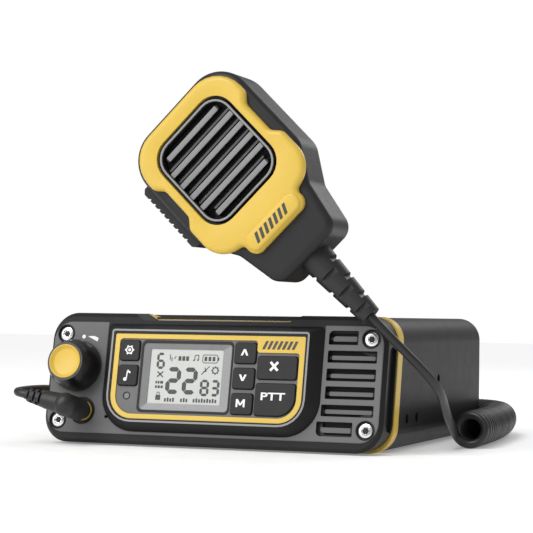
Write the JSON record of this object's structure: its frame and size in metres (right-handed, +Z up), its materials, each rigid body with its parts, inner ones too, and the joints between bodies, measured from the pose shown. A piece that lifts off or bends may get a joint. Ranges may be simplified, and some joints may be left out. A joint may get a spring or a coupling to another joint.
{
  "type": "two way radio",
  "caption": "Compact mobile two way radio with a display, keys, a volume knob and a front speaker, and a hand microphone on a curly cord.",
  "frame": {"origin": "the middle of the case's flat underside, on the surface it stands on", "axes": "+Z up, +Y to the rear, +X to the operator's right; the face looks towards -Y"},
  "size_m": [0.1918, 0.2132, 0.1531],
  "materials": {
    "case_black": "satin moulded black plastic, fine grain",
    "cover_black": "satin black powder coat on sheet metal",
    "accent_yellow": "satin yellow moulded plastic",
    "plate_grey": "dark grey moulded plastic with a fine spark texture",
    "deck_grey": "mid grey moulded plastic",
    "key_rubber": "charcoal silicone rubber key, pale printed legend",
    "knob_black": "smooth black knob with a soft sheen",
    "screw_steel": "bright plated socket screw",
    "brass_plated": "brass fitting",
    "nickel": "nickel plated connector",
    "insulator": "cream insulating plastic",
    "die_cast": "black anodised die casting",
    "frame_metal": "bare die-cast aluminium",
    "circuit_green": "solder-masked circuit board",
    "tin_can": "tinned steel screening can",
    "window": "clear window with a grey printed border",
    "lcd": "pale grey display glass with dark segments",
    "light_guide": "white light guide",
    "gasket": "black rubber gasket",
    "mesh": "black dust mesh",
    "cone": "black speaker cone",
    "cord_black": "satin black polyurethane cord jacket",
    "boot_black": "black flexible strain relief",
    "led_lens": "smoked light pipe",
    "shell_black": "black moulded plastic, fine grain on the front",
    "grille_black": "dark grey grille bars"
  },
  "bodies": {
    "chassis": {"accent_ring": "accent_yellow", "antenna_insulator": "insulator", "antenna_socket": "nickel", "backlight": "light_guide", "bottom_tray": "cover_black", "bracket_nuts": "brass_plated", "case_screws": "screw_steel", "chassis_frame": "frame_metal", "console_frame": "case_black", "cord_coil": "cord_black", "cord_lead": "cord_black", "cord_upper": "cord_black", "display_gasket": "gasket", "display_trim": "accent_yellow", "display_window": "window", "face_plate": "plate_grey", "front_bezel": "case_black", "front_board": "circuit_green", "heat_sink": "die_cast", "key_deck": "deck_grey", "key_switches": "case_black", "lcd_panel": "lcd", "main_board": "circuit_green", "mic_socket": "case_black", "power_inlet": "case_black", "rf_shield": "tin_can", "socket_ring": "accent_yellow", "speaker_cone": "cone", "speaker_frame": "tin_can", "speaker_guard": "plate_grey", "speaker_jack": "nickel", "speaker_mesh": "mesh", "status_led": "led_lens", "top_cover": "cover_black", "volume_encoder": "tin_can"},
    "volume_knob": {"volume_knob": "knob_black", "knob_cap": "accent_yellow", "encoder_shaft": "frame_metal"},
    "plug": {"plug_body": "boot_black", "plug_boot": "boot_black"},
    "microphone": {"mic_rear_shell": "shell_black", "mic_front_shell": "shell_black", "mic_bezel": "accent_yellow", "mic_grille": "grille_black", "mic_mesh": "mesh", "mic_speaker": "tin_can", "mic_capsule": "tin_can", "mic_board": "circuit_green", "mic_switch": "case_black", "mic_hook_stud": "shell_black", "mic_screws": "screw_steel", "mic_strain_relief": "boot_black"},
    "talk_key": {"mic_talk_key": "key_rubber"},
    "menu_key": {"menu_key": "key_rubber"},
    "tone_key": {"tone_key": "key_rubber"},
    "up_key": {"up_key": "key_rubber"},
    "down_key": {"down_key": "key_rubber"},
    "mode_key": {"mode_key": "key_rubber"},
    "exit_key": {"exit_key": "key_rubber"},
    "transmit_key": {"transmit_key": "key_rubber"}
  },
  "joints": [
    {"name": "volume_turn", "type": "hinge", "parent": "chassis", "child": "volume_knob", "pos_m": [-0.0608, -0.0737, 0.03239], "axis": [0, -0.9816, 0.1908], "range_deg": [-300, 0]},
    {"name": "menu_key_press", "type": "slide", "parent": "chassis", "child": "menu_key", "axis": [0, 0.9816, -0.1908], "range_m": [0, 0.0008], "stiffness_N_per_m": 300, "springref_m": -0.0006},
    {"name": "tone_key_press", "type": "slide", "parent": "chassis", "child": "tone_key", "axis": [0, 0.9816, -0.1908], "range_m": [0, 0.0008], "stiffness_N_per_m": 300, "springref_m": -0.0006},
    {"name": "up_key_press", "type": "slide", "parent": "chassis", "child": "up_key", "axis": [0, 0.9816, -0.1908], "range_m": [0, 0.0008], "stiffness_N_per_m": 300, "springref_m": -0.0006},
    {"name": "down_key_press", "type": "slide", "parent": "chassis", "child": "down_key", "axis": [0, 0.9816, -0.1908], "range_m": [0, 0.0008], "stiffness_N_per_m": 300, "springref_m": -0.0006},
    {"name": "mode_key_press", "type": "slide", "parent": "chassis", "child": "mode_key", "axis": [0, 0.9816, -0.1908], "range_m": [0, 0.0008], "stiffness_N_per_m": 300, "springref_m": -0.0006},
    {"name": "exit_key_press", "type": "slide", "parent": "chassis", "child": "exit_key", "axis": [0, 0.9816, -0.1908], "range_m": [0, 0.0008], "stiffness_N_per_m": 300, "springref_m": -0.0006},
    {"name": "transmit_key_press", "type": "slide", "parent": "chassis", "child": "transmit_key", "axis": [0, 0.9816, -0.1908], "range_m": [0, 0.0008], "stiffness_N_per_m": 300, "springref_m": -0.0006},
    {"name": "plug_pull", "type": "slide", "parent": "chassis", "child": "plug", "axis": [0, -0.9816, 0.1908], "range_m": [0, 0.02]},
    {"name": "microphone_lift", "type": "slide", "parent": "chassis", "child": "microphone", "axis": [0, 0, 1], "range_m": [0, 0.08], "deforming": ["cord_upper"]},
    {"name": "talk_key_press", "type": "hinge", "parent": "microphone", "child": "talk_key", "pos_m": [-0.0221, -0.08, 0.10715], "axis": [0, -1, 0], "range_deg": [0, 3.5], "stiffness_Nm_per_rad": 0.8, "springref_deg": -2.29}
  ]
}
